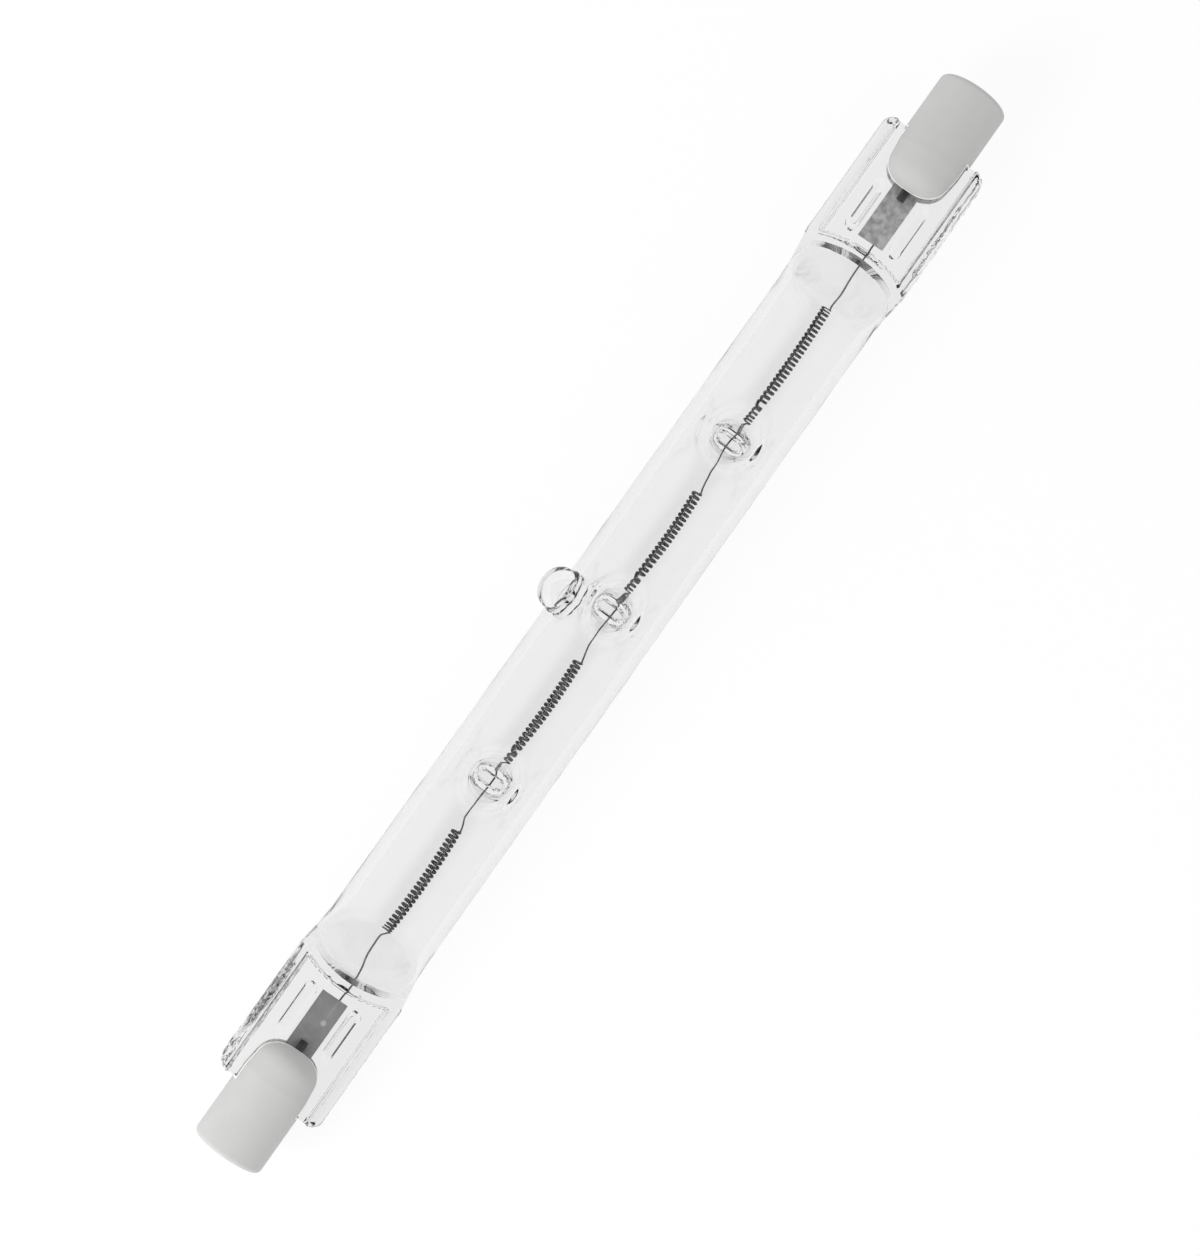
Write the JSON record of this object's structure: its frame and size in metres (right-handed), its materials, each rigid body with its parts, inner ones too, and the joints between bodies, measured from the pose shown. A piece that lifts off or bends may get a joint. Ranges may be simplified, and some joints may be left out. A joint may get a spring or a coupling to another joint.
{
  "type": "linear halogen bulb",
  "caption": "Double-ended linear halogen bulb: a clear quartz tube with flat press seals, a coiled filament held by dimples, an exhaust tip and slotted ceramic caps with recessed contacts.",
  "frame": {"origin": "middle of the lamp on the tube's axis", "axes": "+X along the tube to the right-hand cap, +Z square to the flat press seals, +Y towards the side with the exhaust tip"},
  "size_m": [0.1176, 0.0123, 0.01],
  "materials": {
    "quartz": "clear fused quartz",
    "tungsten": "dull drawn tungsten wire",
    "molybdenum_foil": "dull rolled foil",
    "molybdenum_wire": "dull drawn wire",
    "ceramic": "unglazed, matte",
    "nickel": "satin",
    "cement": "matte"
  },
  "bodies": {
    "root": {"quartz_envelope": "quartz", "filament": "tungsten", "sealing_foil_left": "molybdenum_foil", "sealing_foil_right": "molybdenum_foil", "outer_lead_left": "molybdenum_wire", "outer_lead_right": "molybdenum_wire", "ceramic_cap_left": "ceramic", "ceramic_cap_right": "ceramic", "contact_button_left": "nickel", "contact_button_right": "nickel", "cement_left": "cement", "cement_right": "cement"}
  },
  "joints": []
}
